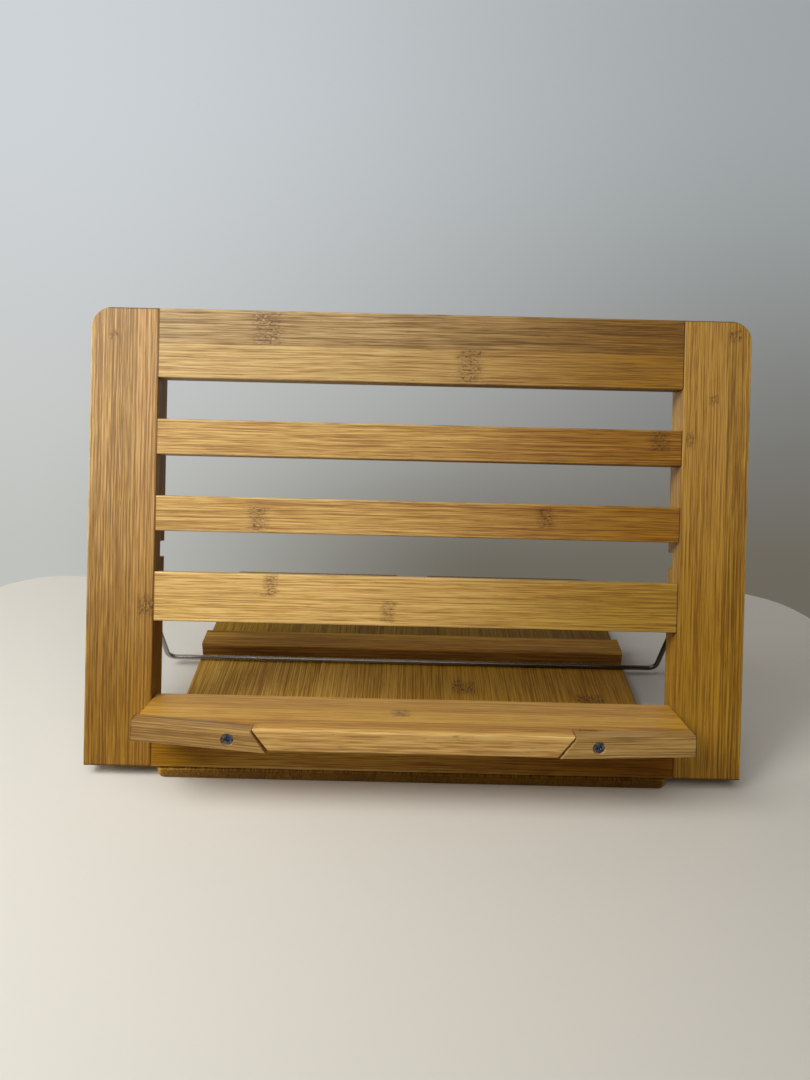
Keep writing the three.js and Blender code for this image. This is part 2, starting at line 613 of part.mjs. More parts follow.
place('base_board', toGeometry(baseBoard()), 'bamboo');
place('stop_strip', toGeometry(stopStrip()), 'dark_bamboo');
place('stile_right', toGeometry(stile()), 'bamboo', frameMatrix);
place('stile_left', mirrored(stile()), 'bamboo', frameMatrix);
RAILS.forEach((spec) => {
  const body = spec.name === 'bottom_rail' ? bottomRail() : rail(spec);
  place(spec.name, toGeometry(body), 'bamboo', frameMatrix);
});
place('ledge', toGeometry(ledge()), 'bamboo', ledgeMatrix);
place('prop_wire', propWire(), 'steel_wire', propMatrix);

Object.entries({ left: -1, right: 1 }).forEach(([name, side]) => {
  place(`page_holder_${name}`, toGeometry(pageHolder(side)), 'bamboo', holderMatrix(side, HOLDER_LIFT[name]));
  place(`page_holder_screw_${name}`, toGeometry(screw(SCREW_HEAD, SCREW_CONE, SCREW_SHANK, SCREW_LENGTH,
    HOLDER_CROSS)), 'steel', ledgeMatrix.clone().multiply(holderScrewSeat(side)));
  place(`ledge_pin_${name}`, toGeometry(ledgePin(side)), 'steel', frameMatrix);
  const centre = side * hingePlace;
  place(`hinge_leaf_frame_${name}`, toGeometry(leaf(centre, middleKnuckle, RAIL_SCREW_LENGTH)), 'steel',
    frameLeafMatrix);
  place(`hinge_leaf_base_${name}`, toGeometry(leaf(-centre, outerKnuckles, BASE_SCREW_LENGTH)), 'steel',
    baseLeafMatrix);
  place(`hinge_pin_${name}`, toGeometry(hingePin(centre)), 'steel');
});
LEAF_SCREWS.forEach(({ side, end, x }) => {
  place(`hinge_screw_rail_${side}_${end}`, toGeometry(leafScrew(RAIL_SCREW_LENGTH)), 'steel',
    frameMatrix.clone().multiply(railScrewSeat(x)));
  place(`hinge_screw_base_${side}_${end}`, toGeometry(leafScrew(BASE_SCREW_LENGTH)), 'steel',
    baseScrewSeat(x));
});

// The part's origin is the middle of its footprint, on the table.
const extent = new THREE.Box3().setFromObject(stand);
const footprintMiddle = (extent.min.y + extent.max.y) / 2;
stand.children.forEach((piece) => piece.geometry.translate(0, -footprintMiddle, 0));

export default stand;
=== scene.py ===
"""Looks for the folding bamboo bookstand: its finishes, wire and screws, the table, light and camera."""

import math

import bpy
from mathutils import Matrix, Vector


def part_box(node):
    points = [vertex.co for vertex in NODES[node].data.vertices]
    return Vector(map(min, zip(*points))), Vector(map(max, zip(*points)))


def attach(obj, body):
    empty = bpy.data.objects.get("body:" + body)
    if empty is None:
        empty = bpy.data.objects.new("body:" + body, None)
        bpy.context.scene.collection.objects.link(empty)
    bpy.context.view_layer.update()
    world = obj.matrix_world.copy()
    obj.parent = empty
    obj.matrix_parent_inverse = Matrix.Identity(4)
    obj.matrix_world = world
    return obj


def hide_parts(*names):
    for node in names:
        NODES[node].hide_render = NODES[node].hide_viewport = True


MM = 0.001

# ---- the stand's own sizes and axes, in millimetres -------------------------
HALF_WIDTH = 170.0
FRAME_HEIGHT = 236.45
FRAME_LEAN = math.radians(24.2)
FRAME_LIFT = 7.0
STILE_INNER = 135.1  # the stiles' inner faces, from the middle
LEDGE_DROOP = math.radians(8.51)
LEDGE_HEIGHT = 35.019  # up the frame, to the ledge's top face
LEDGE_FRONT = -38.0
PIN_UP, PIN_DEPTH = 112.984, 13.0  # the prop's pivot, up the frame and behind its front
PROP_TURN = math.radians(49.396)
HOLDER_SPOT, HOLDER_DROP = 88.1, -5.2  # the page holders' screws, from the middle and below the ledge's top
HOLDER_ARM, HOLDER_LOW = 46.2, -5.3  # a holder's outer end and lower edge, from its screw
HOLDER_REST = {"left": math.radians(4.3), "right": math.radians(2.25)}

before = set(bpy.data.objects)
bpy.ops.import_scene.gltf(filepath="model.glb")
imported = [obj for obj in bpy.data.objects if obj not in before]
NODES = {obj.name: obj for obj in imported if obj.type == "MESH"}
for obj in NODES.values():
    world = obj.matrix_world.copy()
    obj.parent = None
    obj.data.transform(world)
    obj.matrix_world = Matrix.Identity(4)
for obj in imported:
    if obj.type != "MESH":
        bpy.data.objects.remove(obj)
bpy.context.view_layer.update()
front_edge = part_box("base_board")[0][1] / MM


def shift(x, y, z):
    return Matrix.Translation((x, y, z))


def tip(angle, axis="X"):
    return Matrix.Rotation(angle, 4, axis)


BASE_AXES = shift(0, front_edge, 0)
FRAME_AXES = BASE_AXES @ shift(0, 0, FRAME_LIFT) @ tip(-FRAME_LEAN)
LEDGE_AXES = FRAME_AXES @ shift(0, 0, LEDGE_HEIGHT) @ tip(LEDGE_DROOP)
PROP_AXES = FRAME_AXES @ shift(0, PIN_DEPTH, PIN_UP) @ tip(PROP_TURN)


def holder_axes(side, name):
    """A page holder's axes at its screw, turned as far as it stands short of stored."""
    return LEDGE_AXES @ shift(side * HOLDER_SPOT, 0, HOLDER_DROP) @ tip(-side * HOLDER_REST[name], "Y")


# ---- shader writing -------------------------------------------------------
class Value:
    """A socket of a material. Sums written with it add their own Math nodes."""

    def __init__(self, tree, socket):
        self.tree = tree
        self.socket = socket

    def maths(self, operation, *terms):
        node = self.tree.nodes.new("ShaderNodeMath")
        node.operation = operation
        for slot, term in zip(node.inputs, terms):
            feed(self.tree, slot, term)
        return Value(self.tree, node.outputs[0])

    def __add__(self, other):
        return self.maths("ADD", self, other)

    def __radd__(self, other):
        return self.maths("ADD", other, self)

    def __sub__(self, other):
        return self.maths("SUBTRACT", self, other)

    def __rsub__(self, other):
        return self.maths("SUBTRACT", other, self)

    def __mul__(self, other):
        return self.maths("MULTIPLY", self, other)

    def __rmul__(self, other):
        return self.maths("MULTIPLY", other, self)

    def __truediv__(self, other):
        return self.maths("DIVIDE", self, other)

    def __abs__(self):
        return self.maths("ABSOLUTE", self)

    def floor(self):
        return self.maths("FLOOR", self)

    def sine(self):
        return self.maths("SINE", self)

    def most(self, other):
        return self.maths("MAXIMUM", self, other)


def feed(tree, slot, term):
    if isinstance(term, Value):
        tree.links.new(term.socket, slot)
    else:
        slot.default_value = term


class Finish:
    """A material in the making, with its pattern in millimetres along the piece's own axes."""

    def __init__(self, name, axes=Matrix.Identity(4)):
        self.material = bpy.data.materials.new(name)
        self.material.use_nodes = True
        self.tree = self.material.node_tree
        self.tree.nodes.clear()
        self.shader = self.tree.nodes.new("ShaderNodeBsdfPrincipled")
        output = self.tree.nodes.new("ShaderNodeOutputMaterial")
        self.tree.links.new(self.shader.outputs[0], output.inputs[0])
        inward = axes.inverted()
        self.place = self.node("ShaderNodeMapping", Vector=self.node("ShaderNodeTexCoord", out="Object"),
                               Location=inward.translation, Rotation=inward.to_euler("XYZ"),
                               Scale=(1 / MM, 1 / MM, 1 / MM))
        split = self.tree.nodes.new("ShaderNodeSeparateXYZ")
        feed(self.tree, split.inputs[0], self.place)
        self.x, self.y, self.z = (Value(self.tree, socket) for socket in split.outputs)

    def node(self, kind, settings=None, out=0, **inputs):
        """A node with its settings and inputs. An input is named, or numbered as in _6."""
        made = self.tree.nodes.new(kind)
        for key, value in (settings or {}).items():
            setattr(made, key, value)
        for key, term in inputs.items():
            feed(self.tree, made.inputs[int(key[1:]) if key[0] == "_" else key.replace("_", " ")], term)
        return Value(self.tree, made.outputs[out])

    def spot(self, x, y, z):
        return self.node("ShaderNodeCombineXYZ", X=x, Y=y, Z=z)

    def noise(self, spot, detail, roughness=0.5):
        return self.node("ShaderNodeTexNoise", Vector=spot, Scale=1.0, Detail=detail, Roughness=roughness)

    def chance(self, spot):
        return self.node("ShaderNodeTexWhiteNoise", Vector=spot)

    def rise(self, value, low, high):
        """0 below low and 1 above high, smooth between. Falls where low is above high."""
        if low > high:
            return 1.0 - self.rise(value, high, low)
        return self.node("ShaderNodeMapRange", {"interpolation_type": "SMOOTHSTEP"},
                         _0=value, _1=low, _2=high)

    def blend(self, factor, first, second, mode="MIX"):
        return self.node("ShaderNodeMix", {"data_type": "RGBA", "blend_type": mode}, out=2,
                         _0=factor, _6=first, _7=second)

    def tinted(self, colour, tint):
        return self.blend(1.0, colour, tint, "MULTIPLY")

    def relief(self, height, depth, strength):
        return self.node("ShaderNodeBump", Height=height, Distance=depth * MM, Strength=strength)

    def surface(self, **inputs):
        for key, term in inputs.items():
            feed(self.tree, self.shader.inputs[key.replace("_", " ")], term)
        return self.material


def paint(red, green, blue):
    """A colour as it is seen, 0 to 255, in the renderer's own scale."""
    shares = [colour / 255 for colour in (red, green, blue)]
    linear = [share / 12.92 if share <= 0.04 else ((share + 0.055) / 1.055) ** 2.4 for share in shares]
    return (*linear, 1.0)


# ---- bamboo ---------------------------------------------------------------
HONEY = dict(pale=paint(226, 191, 114), middle=paint(192, 151, 76), deep=paint(138, 99, 38))
ASHY = dict(pale=paint(210, 177, 112), middle=paint(176, 140, 76), deep=paint(126, 93, 38))
CREAMY = dict(pale=paint(234, 199, 122), middle=paint(202, 161, 84), deep=paint(148, 109, 42))
PINKER = dict(pale=paint(208, 169, 102), middle=paint(174, 135, 70), deep=paint(126, 91, 38))
GOLDEN = dict(pale=paint(202, 161, 70), middle=paint(168, 125, 42), deep=paint(122, 84, 24))
AMBER = dict(pale=paint(193, 153, 64), middle=paint(159, 117, 36), deep=paint(114, 78, 20))
BLEACHED = dict(pale=paint(252, 214, 128), middle=paint(232, 184, 97), deep=paint(182, 134, 58))
DULL = dict(pale=paint(184, 148, 80), middle=paint(158, 122, 56), deep=paint(114, 86, 34))
OLIVE = dict(pale=paint(236, 190, 94), middle=paint(209, 160, 66), deep=paint(167, 121, 45))
UMBER = dict(pale=paint(184, 140, 52), middle=paint(153, 111, 33), deep=paint(108, 72, 17))
SCORCH = paint(92, 54, 24)
STRAW = paint(236, 202, 136)
REDDISH = paint(190, 128, 84)

# tints, which multiply the wood's colour. All but the rosy band and the end grain paint light and shade
# into it
# painted light: the rails darker towards the right, their left ends standing lit by the window's sheen
RAILS_SHADE_RIGHT = paint(194, 168, 76)
# painted light: the ledge's top darker than its front face, which stands lit
LEDGE_TOP_SHADE = paint(206, 190, 132)
# painted light: the middle rail's own tint for the same darkening towards the right
MIDDLE_RAIL_SHADE_RIGHT = paint(197, 186, 118)
# painted shade: the left stile darker towards its bottom, and the bottom rail towards its left end
LOW_SHADE = paint(206, 190, 98)
# painted shade: the right stile darker and yellower towards its bottom
RIGHT_STILE_LOW_SHADE = paint(232, 224, 150)
# painted shade: the board darker towards the right
BASE_SHADE_RIGHT = paint(206, 196, 144)
# painted shadow of the frame on the board behind the stop strip
SHADED = paint(178, 174, 94)
ROSY = paint(238, 237, 255)
END_GRAIN = paint(160, 150, 132)
SIDE_LIGHT = (1.7, 2.0, 2.4, 1.0)  # painted light: lightens a side face as if lit from the left

# one streak of each kind of grain: its length, width and depth into the wood, in millimetres
SWAY = (70.0, 9.0, 12.0)
BAND = (260.0, 3.4, 6.0)
FIBRE = (60.0, 0.78, 1.4)
HAIR = (16.0, 0.36, 0.6)
FLECK = (6.5, 0.55, 0.9)
GLEAM = (48.0, 0.62, 1.1)
SCRATCH = (2.2, 0.9, 1.6)
GLINT = (2.4, 0.8, 1.4)
FIBRE_SHARE, HAIR_SHARE, BAND_SHARE, LANE_SHARE = 2.5, 1.6, 0.7, 0.3  # how much each moves the tone
RIDGE_SHARE = 0.12
LANE_SLIP, SEED_SLIP = 61.0, 13.7  # so that no two strips, and no two pieces, share their grain
SWAY_REACH = 1.2  # how far the fibres wander sideways
KNOT_WOBBLE = 9.0  # how far a node mark's line wanders along the piece
RELIEF_DEPTH = 0.12


def bamboo(name, axes, along, across, tones, strip, seed, start, ridges=0.0, marks=(), arrises=(),
           seams=(), bands=(), painted_shading=(), ends=(), inner=None, gloss=0.45):
    """Bamboo strips glued side by side: fibres, strip tones, node marks, pale arrises and dark glue lines.

    along is the fibres' axis and across the axis that the strips are counted on. start is where the first
    strip begins and strip is how wide each is. ridges is the spacing of fine lines along the piece.
    marks are (place along, centre across, half width, half length).
    arrises are the front's depth and the edges' places across that are rubbed pale.
    seams are (axis, place): dark glue lines at that distance on both sides of the middle.
    bands are (low edge, high edge, colour): strips of another tint.
    painted_shading is (axis, lit end, shaded end, colour): painted light and shade, the colour darkening
    along that axis towards the tint.
    ends are where end grain shows on the run.
    inner is a side face, by its place across, that is painted paler than the front: painted light, as if
    lit from the side."""
    wood = Finish(name, axes)
    lines = {"x": wood.x, "y": wood.y, "z": wood.z}
    run, wide = lines[along], lines[across]
    deep = next(line for axis, line in lines.items() if axis not in (along, across))

    lane = ((wide - start) / strip).floor()
    lane_tone = wood.chance(wood.spot(lane, seed, 0.5))
    lane_hue = wood.chance(wood.spot(lane, seed, 7.5))
    slip = lane_tone * LANE_SLIP + seed * SEED_SLIP
    back_slip = 0.0 - slip

    def streaks(size, line, offset, **look):
        """Noise drawn out along the run, with streaks of the given length, width and depth."""
        return wood.noise(wood.spot(run / size[0] + offset, line / size[1], deep / size[2]), **look)

    sway = streaks(SWAY, wide, slip, detail=1.0)
    bent = wide + (sway - 0.5) * SWAY_REACH
    band = streaks(BAND, bent, slip, detail=2.0)
    fibre = streaks(FIBRE, bent, slip, detail=3.0, roughness=0.62)
    hair = streaks(HAIR, bent, slip, detail=2.0)
    fleck = streaks(FLECK, bent, slip, detail=1.0)
    gleam = streaks(GLEAM, bent, back_slip, detail=2.0)

    tone = (0.5 + (fibre - 0.5) * FIBRE_SHARE + (hair - 0.5) * HAIR_SHARE + (band - 0.5) * BAND_SHARE
            + (lane_tone - 0.5) * LANE_SHARE)
    if ridges:
        tone = tone + ((bent * (2 * math.pi / ridges) + band * 5.0).sine()) * RIDGE_SHARE
    colour = wood.blend(wood.rise(tone, 0.12, 0.56), tones["deep"], tones["middle"])
    colour = wood.blend(wood.rise(tone, 0.46, 0.98), colour, tones["pale"])
    colour = wood.blend(lane_hue * 0.22, colour, REDDISH)
    colour = wood.blend(wood.rise(fleck, 0.66, 0.78) * 0.45, colour, SCORCH)
    colour = wood.blend(wood.rise(gleam, 0.55, 0.68) * 0.5, colour, tones["pale"])
    lane_edge = abs((wide - start) / strip - lane - 0.5)
    colour = wood.blend(wood.rise(lane_edge, 0.5 - 0.45 / strip, 0.5) * 0.35, colour, SCORCH)

    for low, high, tint in bands:
        inside = wood.rise(abs(wide - (low + high) / 2), (high - low) / 2 + 0.15, (high - low) / 2 - 0.15)
        colour = wood.blend(inside, colour, wood.tinted(colour, tint))

    height = fibre * 0.7 + hair * 0.3
    if marks:
        wobble = (wood.noise(wood.spot(bent / 2.6, seed, deep / 4.0), detail=2.0) - 0.5) * KNOT_WOBBLE
        knot = None
        for place, centre, half_width, half_length in marks:
            near = (wood.rise(abs(run - place - wobble), half_length, 0.25 * half_length)
                    * wood.rise(abs(wide - centre), half_width + 0.6, half_width - 0.8))
            knot = near if knot is None else knot.most(near)
        scratch = streaks(SCRATCH, bent, slip, detail=3.0, roughness=0.6)
        glint = streaks(GLINT, bent, back_slip, detail=2.0)
        colour = wood.blend(knot * 0.28, colour, SCORCH)
        colour = wood.blend(knot * wood.rise(scratch, 0.5, 0.6) * 0.8, colour, SCORCH)
        colour = wood.blend(knot * wood.rise(glint, 0.58, 0.7) * 0.45, colour, STRAW)
        height = height - knot * scratch * 0.9

    if arrises:
        front, edges = arrises
        worn = None
        for edge in edges:
            near = wood.rise(abs(wide - edge), 1.5, 0.5)
            worn = near if worn is None else worn.most(near)
        rub = wood.noise(wood.spot(run / 16.0, wide / 2.0, seed), detail=2.0)
        worn = worn * wood.rise(abs(deep - front), 1.2, 0.3) * wood.rise(rub, 0.28, 0.62)
        colour = wood.blend(worn * 0.4, colour, STRAW)
    for axis, place in seams:
        colour = wood.blend(wood.rise(abs(abs(lines[axis]) - place), 0.5, 0.2) * 0.75, colour, SCORCH)

    # painted light and shade: the colour darkens along an axis, away from its lit end
    for axis, pale_end, deep_end, tint in painted_shading:
        colour = wood.blend(wood.rise(lines[axis], pale_end, deep_end), colour, wood.tinted(colour, tint))
    # painted light: the inner side face lightened as if lit from the side
    if inner is not None:
        side = wood.rise(abs(wide - inner), 0.7, 0.2) * wood.rise(deep, 0.6, 1.4)
        colour = wood.blend(side, colour, wood.tinted(colour, SIDE_LIGHT))
    for end in ends:
        colour = wood.blend(wood.rise(abs(run - end), 1.0, 0.3), colour, wood.tinted(colour, END_GRAIN))

    roughness = 0.47 - (tone - 0.5) * 0.08 + (hair - 0.5) * 0.12
    return wood.surface(Base_Color=colour, Roughness=roughness, Specular_IOR_Level=gloss,
                        Normal=wood.relief(height, RELIEF_DEPTH, 0.5))


def reach(node, axes, side):
    """How far a CAD piece reaches along one side of a set of axes, in millimetres."""
    piece = NODES[node]
    inward = axes.inverted()
    corners = [inward @ (piece.matrix_world @ corner.co / MM) for corner in piece.data.vertices]
    places = [corner["xyz".index(side)] for corner in corners]
    return min(places), max(places)


def wear(node, material):
    """The node's CAD object takes the material in every slot."""
    target = NODES[node]
    for slot in target.material_slots:
        slot.material = material


def dress_stiles():
    alike = dict(axes=FRAME_AXES, along="z", across="x", strip=11.6, ridges=1.75, ends=(0.0, FRAME_HEIGHT))
    wear("stile_left", bamboo(
        "bamboo_stile_left", tones=PINKER, seed=1.0, start=-HALF_WIDTH, arrises=(0.0, (-HALF_WIDTH,)),
        marks=[(83.5, -139.5, 4.3, 7.0), (222.0, -158.0, 2.4, 2.6)],
        # painted shade: the stile darker towards its bottom
        painted_shading=[("z", 170.0, 20.0, LOW_SHADE)], gloss=0.35, **alike))
    wear("stile_right", bamboo(
        "bamboo_stile_right", tones=AMBER, seed=2.0, start=STILE_INNER + 0.1, arrises=(0.0, (HALF_WIDTH,)),
        marks=[(229.0, 161.0, 3.4, 5.0), (175.0, 139.5, 2.2, 5.0), (196.0, 151.0, 2.5, 3.5)],
        # painted shade: the right stile darker towards its bottom; its inner side face is painted light
        inner=STILE_INNER, painted_shading=[("z", 190.0, 60.0, RIGHT_STILE_LOW_SHADE)], gloss=0.3, **alike))


def dress_rails():
    rails = (  # name, tones, width of a strip, seed, node marks
        ("top_rail", ASHY, 17.8, 3.0, [(-79.0, 227.6, 8.6, 11.0), (25.0, 210.0, 8.4, 9.0)]),
        ("slat_upper", HONEY, 18.4, 4.0, [(124.0, 174.5, 6.0, 7.0)]),
        ("slat_lower", HONEY, 18.4, 5.0, [(-82.0, 129.0, 6.2, 7.0), (66.0, 133.0, 5.0, 6.0)]),
        ("middle_rail", CREAMY, 12.9, 6.0, [(-75.0, 95.5, 6.2, 5.0), (-14.0, 83.0, 5.5, 5.0)]),
        ("bottom_rail", GOLDEN, 12.2, 7.0, []),
    )
    for name, tones, strip, seed, marks in rails:
        low, high = reach(name, FRAME_AXES, "z")
        # painted light: each rail darker towards the right, its left end standing lit
        painted_shading = [("x", -60.0, 125.0, MIDDLE_RAIL_SHADE_RIGHT if name == "middle_rail" else RAILS_SHADE_RIGHT)]
        if name == "bottom_rail":
            # painted shade: the bottom rail also darker towards its left end
            painted_shading.append(("x", -60.0, -130.0, LOW_SHADE))
        bands = [(219.0, 237.0, ROSY)] if name == "top_rail" else []
        wear(name, bamboo(f"bamboo_{name}", FRAME_AXES, "x", "z", tones, strip, seed, start=low - 0.1,
                          marks=marks, arrises=(0.0, (low, high)), seams=[("x", STILE_INNER)], bands=bands,
                          painted_shading=painted_shading, gloss=0.15 if name == "bottom_rail" else 0.4))


def dress_base():
    wear("base_board", bamboo("bamboo_base_board", BASE_AXES, "y", "x", OLIVE, 19.0, 8.0, start=-133.0,
                              marks=[(80.5, 31.3, 7.0, 10.0), (70.7, 105.7, 8.0, 7.0)],
                              # painted shade: the board darker towards the right, and the frame's painted
                              # shadow behind the stop strip
                              painted_shading=[("x", -110.0, 20.0, BASE_SHADE_RIGHT), ("y", 128.0, 140.0, SHADED)],
                              ends=reach("base_board", BASE_AXES, "y"), gloss=0.15))
    strip_front = reach("stop_strip", BASE_AXES, "y")[0]
    wear("stop_strip", bamboo("bamboo_stop_strip", BASE_AXES, "x", "y", UMBER, 9.0, 9.0, start=strip_front,
                              gloss=0.1))


def dress_ledge():
    wear("ledge", bamboo("bamboo_ledge", LEDGE_AXES, "x", "y", BLEACHED, 14.4, 10.0, start=-39.0,
                         marks=[(-78.0, -34.0, 4.0, 5.0), (-6.0, -12.0, 5.0, 6.0), (84.0, -33.0, 5.0, 8.0)],
                         # painted light: the ledge's front face and front edge stay paler than its top
                         painted_shading=[("y", -37.5, -33.0, LEDGE_TOP_SHADE)]))
    for side, name in ((-1, "left"), (1, "right")):
        node = f"page_holder_{name}"
        wear(node, bamboo(f"bamboo_{node}", holder_axes(side, name), "x", "z", DULL, 10.8, 11.0 + side,
                          start=HOLDER_LOW, ends=(side * HOLDER_ARM,)))


# ---- steel ----------------------------------------------------------------
def drawn_steel():
    steel = Finish("steel_wire", PROP_AXES)
    lines = steel.noise(steel.spot(steel.x / 9.0, steel.y / 0.12, steel.z / 0.12), detail=2.0)
    patch = steel.noise(steel.spot(steel.x / 12.0, steel.y / 5.0, steel.z / 12.0), detail=3.0)
    colour = steel.blend(patch, paint(180, 178, 176), paint(148, 146, 144))
    # painted shade: the wire darker towards its right end, its left half standing lit
    shaded_right = steel.tinted(colour, paint(148, 136, 124))
    colour = steel.blend(steel.rise(steel.x, -30.0, 90.0), colour, shaded_right)
    colour = steel.blend(steel.rise(lines, 0.58, 0.72) * 0.35, colour, paint(120, 118, 118))
    return steel.surface(Base_Color=colour, Metallic=1.0, Normal=steel.relief(lines, 0.01, 0.5),
                         Roughness=0.17 + lines * 0.12 + (patch - 0.5) * 0.12)


def screw_steel():
    steel = Finish("steel_screw")
    patch = steel.noise(steel.spot(steel.x / 1.1, steel.y / 1.1, steel.z / 1.1), detail=3.0)
    scuff = steel.noise(steel.spot(steel.x / 0.3, steel.y / 0.9, steel.z / 0.3), detail=2.0)
    colour = steel.blend(steel.rise(patch, 0.35, 0.65), paint(64, 70, 86), paint(112, 118, 136))
    colour = steel.blend(steel.rise(scuff, 0.56, 0.68) * 0.6, colour, paint(214, 218, 228))
    return steel.surface(Base_Color=colour, Metallic=1.0, Roughness=0.3 + (patch - 0.5) * 0.2,
                         Normal=steel.relief(scuff, 0.02, 0.4))


def leaf_steel():
    steel = Finish("steel_leaf")
    lines = steel.noise(steel.spot(steel.x / 6.0, steel.y / 0.15, steel.z / 0.15), detail=2.0)
    patch = steel.noise(steel.spot(steel.x / 5.0, steel.y / 5.0, steel.z / 5.0), detail=3.0)
    colour = steel.blend(patch, paint(186, 184, 180), paint(156, 154, 150))
    return steel.surface(Base_Color=colour, Metallic=1.0, Normal=steel.relief(lines, 0.015, 0.5),
                         Roughness=0.3 + (lines - 0.5) * 0.2 + (patch - 0.5) * 0.1)


# ---- geometry nodes -------------------------------------------------------
class Maker:
    """A Geometry Nodes tree in the making, with named inputs for its sizes."""

    def __init__(self, name, **sizes):
        self.tree = bpy.data.node_groups.new(name, "GeometryNodeTree")
        self.tree.interface.new_socket("Geometry", in_out="INPUT", socket_type="NodeSocketGeometry")
        self.tree.interface.new_socket("Geometry", in_out="OUTPUT", socket_type="NodeSocketGeometry")
        kinds = {float: "NodeSocketFloat", int: "NodeSocketInt", tuple: "NodeSocketVector"}
        self.slots = {}
        for key, value in sizes.items():
            socket = self.tree.interface.new_socket(key.replace("_", " "), in_out="INPUT",
                                                    socket_type=kinds[type(value)])
            self.slots[key] = (socket.identifier, value)
        self.entry = self.tree.nodes.new("NodeGroupInput")
        self.exit = self.tree.nodes.new("NodeGroupOutput")

    def size(self, key):
        return self.entry.outputs[key.replace("_", " ")]

    def node(self, kind, settings=None, out=0, **inputs):
        made = self.tree.nodes.new(kind)
        for key, value in (settings or {}).items():
            setattr(made, key, value)
        for key, term in inputs.items():
            slot = made.inputs[int(key[1:]) if key[0] == "_" else key.replace("_", " ")]
            if isinstance(term, bpy.types.NodeSocket):
                self.tree.links.new(term, slot)
            elif isinstance(term, list):
                for each in term:
                    self.tree.links.new(each, slot)
            else:
                slot.default_value = term
        return made.outputs[out]

    def maths(self, operation, first, second):
        return self.node("ShaderNodeMath", {"operation": operation}, _0=first, _1=second)

    def make(self, name, mesh, geometry, material, place):
        """Runs the tree on the mesh and keeps the result as a plain mesh at its place."""
        whole = self.node("GeometryNodeRealizeInstances", Geometry=geometry)
        coated = self.node("GeometryNodeSetMaterial", Geometry=whole, Material=material)
        self.tree.links.new(coated, self.exit.inputs[0])
        seed = bpy.data.objects.new(f"{name}_seed", mesh)
        bpy.context.scene.collection.objects.link(seed)
        modifier = seed.modifiers.new("make", "NODES")
        modifier.node_group = self.tree
        for identifier, value in self.slots.values():
            modifier[identifier] = value
        bpy.context.view_layer.update()
        made = bpy.data.meshes.new_from_object(seed.evaluated_get(bpy.context.evaluated_depsgraph_get()))
        bpy.data.objects.remove(seed)
        made.transform(Matrix.Scale(MM, 4) @ place)
        made.name = name
        piece = bpy.data.objects.new(name, made)
        bpy.context.scene.collection.objects.link(piece)
        return piece


def dots(name, points, edges=()):
    mesh = bpy.data.meshes.new(name)
    mesh.from_pydata(points, edges, [])
    return mesh


WIRE_RADIUS = 1.5
LEG_PLACE = 152.5  # each leg's middle, from the stand's middle
LEG_LENGTH = 108.366
CORNER_BEND = 5.0  # radius of the bends at the crossbar's ends
END_BEND = 3.0
END_REACH = 10.5  # how far each bent end runs into its stile


def prop_wire(material):
    """One wire bent four times, swept by a tree whose bends come from a value on each corner."""
    tip_place = LEG_PLACE + END_REACH
    corners = [(-tip_place, 0, 0), (-LEG_PLACE, 0, 0), (-LEG_PLACE, 0, -LEG_LENGTH),
               (LEG_PLACE, 0, -LEG_LENGTH), (LEG_PLACE, 0, 0), (tip_place, 0, 0)]
    path = dots("prop_path", corners, [(i, i + 1) for i in range(len(corners) - 1)])
    bends = path.attributes.new("bend", "FLOAT", "POINT")
    for i, bend in enumerate((0.0, END_BEND, CORNER_BEND, CORNER_BEND, END_BEND, 0.0)):
        bends.data[i].value = bend

    maker = Maker("bent_wire", Wire_Radius=WIRE_RADIUS, Corner_Steps=14)
    curve = maker.node("GeometryNodeMeshToCurve", Mesh=maker.entry.outputs[0])
    bend = maker.node("GeometryNodeInputNamedAttribute", {"data_type": "FLOAT"}, Name="bend")
    curve = maker.node("GeometryNodeFilletCurve", {"mode": "POLY"}, Curve=curve, Radius=bend,
                       Count=maker.size("Corner_Steps"), Limit_Radius=True)
    ring = maker.node("GeometryNodeCurvePrimitiveCircle", Resolution=24, Radius=maker.size("Wire_Radius"))
    tube = maker.node("GeometryNodeCurveToMesh", Curve=curve, Profile_Curve=ring, Fill_Caps=True)
    tube = maker.node("GeometryNodeSetShadeSmooth", Geometry=tube)
    return maker.make("prop_wire_drawn", path, tube, material, PROP_AXES)


